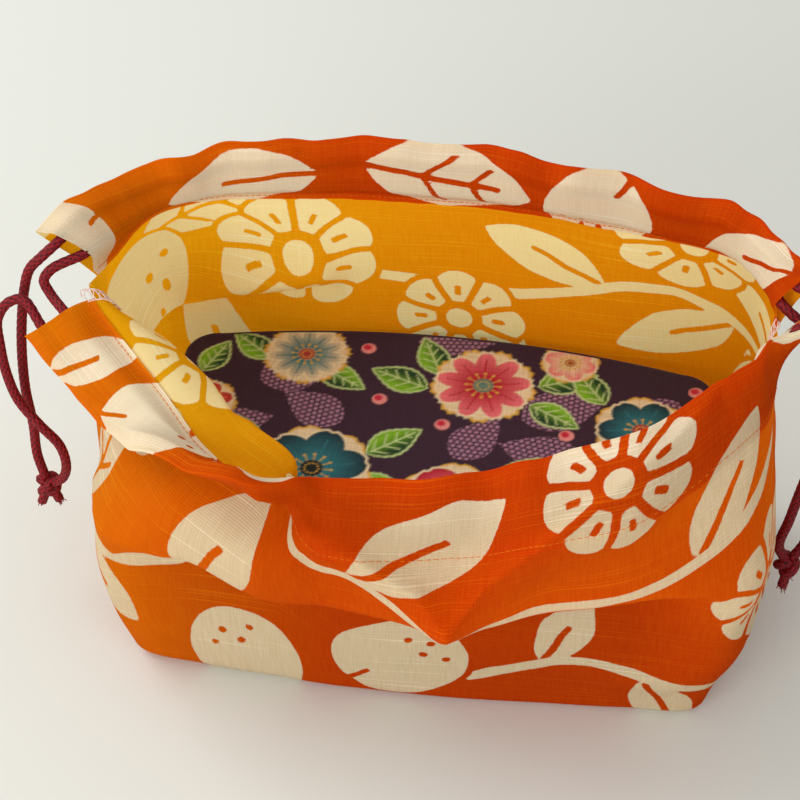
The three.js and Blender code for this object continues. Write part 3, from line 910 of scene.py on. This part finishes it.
def make_cloth(material):
    across = np.linspace(0, PANEL_WIDTH, round(PANEL_WIDTH / CLOTH_STEP) + 1)
    heights = np.linspace(0, WALL_HEIGHT, round(WALL_HEIGHT / CLOTH_STEP) + 1)
    sewn = zip(sewn_panels(across, heights), (FRONT, BACK))
    layers = [panel_layers(grid, into, across, heights, start)
              for (grid, into), (_, _, start) in sewn]
    grids = [layer[part] for layer in layers for part in ("wall", "casing")]
    edge = np.concatenate([layers[0]["wall"][0][:-1, 0], layers[1]["wall"][0][:, 0]])
    grids.append(bottom_layer(edge))
    points, faces = join([(grid.reshape(-1, 3), grid_faces(*grid.shape[:2])) for grid, _ in grids])
    flat = np.concatenate([flat.reshape(-1, 3) for _, flat in grids])
    points[:, 2] = np.maximum(points[:, 2], FLOOR_GAP)
    cloth = make_object("printed_cloth", points, faces, material, flat=flat, print=print_distance(flat))
    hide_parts("cloth_bag")
    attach(cloth, "root")
    return cloth


def sewn_thread(name, parts, material):
    """One piece from all stretches of a thread; it goes with the cloth."""
    thread = make_object(name, *join(parts), material)
    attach(thread, "root")
    return thread


def make_stitches(material):
    """The running stitch that holds each casing's hem, on the inside and on the outside."""
    pitch, stitch, taper, sides = 2.0, 1.5, 0.6, 6
    depths, slides, thicknesses = (0.85, -0.05), (0.0, pitch / 2), (0.15, 0.13)
    starts = np.arange(SLIT_WIDTH / 2 + 1, PANEL_WIDTH - SLIT_WIDTH / 2 - 2 * pitch, pitch)
    parts = []
    for panel in (FRONT, BACK):
        for depth, slide, thick in zip(depths, slides, thicknesses):
            places = (starts + slide)[:, None] + np.array([0, stitch / 2, stitch])
            points, into = draped_line(panel, places.ravel(), STITCH_HEIGHT + HEM_EDGE, 1)
            radii = thick * np.array([taper, 1, taper])
            for line in (points + into * depth).reshape(-1, 3, 3):
                parts.append(tube(line, radii, sides))
    return sewn_thread("casing_stitches", parts, material)


def make_overlock(material):
    """Loose loops of thread that bind the raw edges of the side seams and slits, on the inside."""
    pitch, step, loop, depth = 2.6, 0.3, 1.5, 0.7
    loop_radius, needle_radius, sides, needle_inset = 0.22, 0.19, 5, 1.5
    lowest, past_stitching, margin = 18, 4, 14
    nears, fars = (2.0, 4.0), (8.5, 10.5)
    heights = np.arange(lowest, STITCH_HEIGHT + past_stitching, step)
    turn = 2 * math.pi * heights / pitch
    places = np.arange(0, margin, step)
    both_ends = np.concatenate([places, PANEL_WIDTH - places[::-1]])
    parts = []
    for (grid, into), near, far in zip(sewn_panels(both_ends, heights), nears, fars):
        grid = (grid + into * depth)[:len(places)]
        reach = (far - near) * (0.82 + 0.18 * wander(heights, pitch, 31))
        across = near + reach * (0.5 - 0.5 * np.cos(turn))
        rows = heights + loop * np.sin(turn) * (1 + 0.4 * wander(heights, pitch, 32))
        column = np.clip(np.round(across / step).astype(int), 0, len(places) - 1)
        row = np.clip(np.round((rows - heights[0]) / step).astype(int), 0, len(heights) - 1)
        parts.append(tube(grid[column, row], loop_radius, sides))
        for place in (near, far - needle_inset):
            parts.append(tube(grid[round(place / step), ::4], needle_radius, sides))
    return sewn_thread("seam_overlock", parts, material)


# Insert

def half_depth(x, inset):
    """Half the insert's depth at a place along it, with its outline moved in by inset."""
    reach_x, reach_y = INSERT["x"] - inset, INSERT["y"] - inset
    corner = INSERT["corner"] - inset
    straight = reach_x - corner
    past = np.clip(np.abs(x) - straight, 0, corner)
    rounded = reach_y - corner + np.sqrt(corner**2 - past**2)
    return rounded + INSERT["bow"] * np.clip(1 - (x / straight) ** 2, 0, 1)


def insert_outline(inset, height):
    """The insert's outline, moved in by inset, as a closed loop of points."""
    steps = 121
    x = (INSERT["x"] - inset) * np.sin(np.linspace(-math.pi / 2, math.pi / 2, steps))
    y = half_depth(x, inset)
    loop = np.concatenate([np.stack([x, -y], axis=1), np.stack([x, y], axis=1)[::-1]])
    loop = np.concatenate([loop, loop[:1]])
    return np.column_stack([loop, np.full(len(loop), height)])


def insert_top(x, y):
    """Height of the insert's top, a little slack towards the middle."""
    slack = 0.6
    across = np.cos(np.clip(x / INSERT["x"], -1, 1) * math.pi / 2)
    along = np.cos(np.clip(y / half_depth(x, 0), -1, 1) * math.pi / 2)
    return INSERT["high"] - slack * across * along


class Paint:
    """Colours over points of a plane, painted one shape over another."""

    def __init__(self, x, y, ground):
        self.x, self.y = x, y
        self.colours = np.tile(ground[:3], (len(x), 1))

    def local(self, centre, angle):
        return own_axes(self.x, self.y, centre, angle)

    def fill(self, distance, colour):
        """Cover a shape with a colour, over a thin soft edge."""
        soft_edge = 0.6
        cover = np.clip(0.5 - distance / soft_edge, 0, 1)[:, None]
        self.colours = blend(self.colours, np.asarray(colour)[..., :3], cover)

    def fade(self, distance, share, first, last):
        """Fill a shape with a colour that runs from first to last."""
        share = np.clip(share, 0, 1)[:, None]
        self.fill(distance, blend(np.array(first[:3]), np.array(last[:3]), share))

    def petals(self, centre, radius, turn, count, heart, edge, outline):
        """A ring of notched petals with thin outlines and a line down each."""
        x, y = self.local(centre, turn)
        px, py = first_sector(x, y, count)
        middle, length = 0.56 * radius, 0.44 * radius
        width = 0.66 * radius * math.tan(math.pi / count)
        shape = (np.hypot((px - middle) / length, py / width) - 1) * min(length, width)
        shape = np.maximum(shape, -disc(px - 1.08 * radius, py, 0.12 * radius))
        self.fill(shape - 0.45, outline)
        self.fade(shape + 0.4, (np.hypot(x, y) / radius - 0.25) / 0.7, heart, edge)
        self.fill(np.maximum(np.abs(py) - 0.25, np.abs(px - 0.5 * radius) - 0.25 * radius), heart)

    def disc(self, centre, radius, colour):
        x, y = self.local(centre, 0)
        self.fill(disc(x, y, radius), colour)

    def eye(self, centre, radius, colour, dots):
        """A flower's heart with stamens round it."""
        stamens = 12
        x, y = self.local(centre, 0)
        px, py = first_sector(x, y, stamens)
        far = np.hypot(x, y)
        self.fill(np.maximum(np.abs(py) - 0.2, np.abs(far - 1.3 * radius) - 0.4 * radius), dots)
        self.fill(disc(px - 1.75 * radius, py, 0.5), dots)
        self.fill(far - radius, colour)
        self.fill(disc(px - 0.62 * radius, py, 0.32), dots)

    def leaf(self, centre, angle, length, dark, light, vein):
        """A pointed leaf with a toothed edge, its foot at centre."""
        teeth, tooth, slope, spacing = 8, 0.35, 0.9, length / 6.5
        x, y = self.local(centre, angle)
        share = np.clip(x / length, 0, 1)
        edge = 0.27 * length * np.sin(math.pi * share**0.8)
        shape = np.abs(y) - edge - tooth * np.abs(np.sin(share * teeth * math.pi))
        shape = np.maximum(shape * 0.8, np.maximum(-x, x - length))
        self.fill(shape - 0.4, vein)
        self.fade(shape + 0.35, 0.5 + y / (0.3 * length), dark, light)
        inner = shape + 1.2
        self.fill(np.maximum(np.abs(y) - 0.35, inner), vein)
        slant = (x - slope * np.abs(y)) / 1.35
        self.fill(np.maximum(np.abs(slant % spacing - spacing / 2) - 0.28, inner), vein)

    def cluster(self, centre, angle, length, width, colour):
        """A drop-shaped cloud of small dots."""
        gap, dot, row_share = 2.3, 0.78, 0.866
        x, y = self.local(centre, angle)
        share = np.clip(x / length, 0, 1)
        cloud = np.abs(y) - width / 2 * np.sin(math.pi * share**0.7)
        row = np.round(y / (gap * row_share))
        shifted = x - (row % 2) * gap / 2
        dots = disc(shifted - np.round(shifted / gap) * gap, y - row * gap * row_share, dot)
        self.fill(np.maximum(dots, np.maximum(cloud, np.maximum(-x, x - length))), colour)


AUBERGINE = srgb(54, 28, 50)
CREAM = srgb(240, 224, 184)
GOLD = srgb(226, 178, 70)


def paint_clusters(paint):
    lilac = srgb(178, 130, 160)
    for x, y, angle, length, width in (
            (-66, 22, 0.5, 30, 20), (-34, 4, 2.6, 26, 17), (30, 14, 0.5, 34, 20), (-12, 50, 0.1, 28, 14),
            (52, -6, 2.9, 30, 20), (-82, -6, 0.4, 26, 17), (8, -8, 1.0, 26, 16), (84, 30, 4.0, 26, 17),
            (20, -48, 0.2, 30, 16), (-60, -40, 1.0, 28, 18), (88, -10, 3.6, 24, 16)):
        paint.cluster((x, y), angle, length, width, lilac)


def paint_leaves(paint):
    green, lime, mint = srgb(20, 66, 30), srgb(126, 186, 30), srgb(196, 222, 150)
    for x, y, angle, length in (
            (-64, 34, 2.5, 20), (-46, 32, -0.5, 20), (-6, 26, 2.8, 22), (-2, 34, 2.0, 20), (34, 32, 0.4, 22),
            (32, 22, -0.5, 20), (58, 26, 2.2, 20), (86, 14, 0.3, 18), (84, 8, -1.0, 18), (-62, -14, 2.2, 22),
            (-22, -10, 0.7, 22), (-24, -22, -0.4, 20), (26, -20, 0.9, 20), (48, -18, 2.6, 20),
            (76, -20, 0.4, 20), (-88, 24, 1.2, 18)):
        paint.leaf((x, y), angle, length, green, lime, mint)


def paint_blossoms(paint):
    pale, night, teal = srgb(236, 214, 172), srgb(8, 44, 56), srgb(38, 120, 132)
    crimson, rose, coral = srgb(186, 14, 44), srgb(240, 120, 128), srgb(238, 110, 74)
    for centre, radius, turn, count, heart, edge, eye in (
            ((-40, -20), 20, 0.3, 6, teal, night, srgb(12, 26, 30)),
            ((10, -30), 18, 0.9, 5, rose, crimson, srgb(52, 92, 92)),
            ((14, 30), 18, 0.2, 9, crimson, rose, srgb(92, 128, 116)),
            ((-52, 38), 15, 0.5, 11, teal, pale, srgb(176, 52, 60)),
            ((72, 14), 16, 0.1, 6, teal, night, srgb(176, 60, 64)),
            ((60, -30), 15, 0.6, 7, crimson, coral, srgb(60, 98, 92)),
            ((-84, 8), 11, 0.4, 7, coral, crimson, srgb(88, 116, 96)),
            ((44, 46), 10, 0.8, 6, pale, rose, srgb(150, 60, 54))):
        paint.petals(centre, radius * 1.06, turn + math.pi / count, count, pale, pale, GOLD)
        paint.petals(centre, radius, turn, count, heart, edge, CREAM)
        paint.eye(centre, radius * 0.2, eye, GOLD)
    for centre in ((-22, 18), (-30, 44), (-76, 50), (46, 8), (34, -40), (90, 36), (-70, -30), (2, 8)):
        paint.disc(centre, 2.7, srgb(238, 150, 146))
        paint.disc((centre[0] - 0.5, centre[1] + 0.6), 1.5, srgb(206, 36, 66))


def insert_print(x, y):
    """Colours of the flowered cloth at points of the insert's top."""
    paint = Paint(x, y, AUBERGINE)
    paint_clusters(paint)
    paint_leaves(paint)
    paint_blossoms(paint)
    return paint.colours


def make_insert(material):
    """A stiff former under tight flowered cloth."""
    edge, print_step = INSERT["edge"], 0.62
    turns = np.linspace(0, math.pi / 2, 7)
    rings = [(edge * (1 - math.sin(t)), INSERT["low"] + edge * (1 - math.cos(t))) for t in turns]
    rings += [(edge * (1 - math.cos(t)), INSERT["high"] - edge * (1 - math.sin(t))) for t in turns]
    side = np.stack([insert_outline(inset, height) for inset, height in rings], axis=1)

    reach = INSERT["x"] - edge
    x = np.linspace(-reach, reach, round(2 * reach / print_step))
    across = np.linspace(-1, 1, round(2 * (INSERT["y"] + INSERT["bow"]) / print_step))
    x, across = np.meshgrid(x, across, indexing="ij")
    y = across * half_depth(x, edge)
    top = np.stack([x, y, insert_top(x, y)], axis=-1)
    under = np.stack([x, -y, np.full_like(x, INSERT["low"])], axis=-1)[::8, ::8]

    grids = [side, top, under]
    points, faces = join([(grid.reshape(-1, 3), grid_faces(*grid.shape[:2])) for grid in grids])
    colours = np.tile(AUBERGINE[:3], (len(points), 1))
    first = side.shape[0] * side.shape[1]
    colours[first:first + x.size] = insert_print(x.ravel(), y.ravel())
    insert = make_object("flowered_insert", points, faces, material, colour=colours)
    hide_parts("base_insert")
    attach(insert, "root")
    return insert


# Stage

def make_floor():
    shader = Shader("pale_floor")
    place = shader.object_place()
    cloud = shader.noise(place, (1.2, 1.2, 1.2), 2.0)
    colour = shader.mix(cloud, srgb(214, 217, 211), srgb(221, 224, 218))
    surface = shader.finish(shader.principled(colour, 0.7, 0.2, {}))
    half = 4000
    corners = [(-half, -half, 0), (half, -half, 0), (half, half, 0), (-half, half, 0)]
    floor = make_object("floor", corners, [(0, 1, 2, 3)], surface)


def make_light(name, place, target, size, power, colour):
    data = bpy.data.lights.new(name, "AREA")
    data.size = size
    data.energy = power
    data.color = colour
    light = bpy.data.objects.new(name, data)
    light.location = place
    light.rotation_euler = (Vector(target) - Vector(place)).to_track_quat("-Z", "Y").to_euler()
    bpy.context.collection.objects.link(light)


def make_lighting():
    world = bpy.data.worlds.new("room")
    world.use_nodes = True
    background = world.node_tree.nodes["Background"]
    daylight = (1.0, 0.985, 0.96)
    background.inputs["Color"].default_value = (*daylight, 1)
    background.inputs["Strength"].default_value = 0.67
    bpy.context.scene.world = world
    make_light("window", (-1.1, 0.4, 1.0), (0, 0, 0.1), size=1.0, power=12, colour=daylight)
    lamplight = (1.0, 0.98, 0.95)
    make_light("fill", (-0.5, -1.16, 0.4), (0, 0, 0.06), size=0.9, power=10.5, colour=lamplight)


make_camera()
bpy.context.scene.view_settings.view_transform = "Standard"

braid = cord_material()
left_cord, left_line = make_cord("left_cord", (LEFT_BACK_STRAND, LEFT_FRONT_STRAND), LEFT_KNOT,
                                 (BACK, FRONT), RIGHT_CROSSING[::-1], UPPER_CORD_DROP, braid)
right_cord, right_line = make_cord("right_cord", (RIGHT_FRONT_STRAND, RIGHT_BACK_STRAND), RIGHT_KNOT,
                                   (FRONT, BACK), LEFT_CROSSING, LOWER_CORD_DROP, braid)
left_knot = make_knot("left_knot", LEFT_KNOT, 0.3, 11, braid)
right_knot = make_knot("right_knot", RIGHT_KNOT, 1.2, 12, braid)

cloth = make_cloth(cloth_material())
stitches = make_stitches(thread_material("orange_thread", srgb(204, 96, 8), srgb(230, 130, 26)))
overlock = make_overlock(thread_material("pale_thread", srgb(214, 176, 164), srgb(244, 226, 214)))
make_insert(insert_material())
make_floor()
make_lighting()
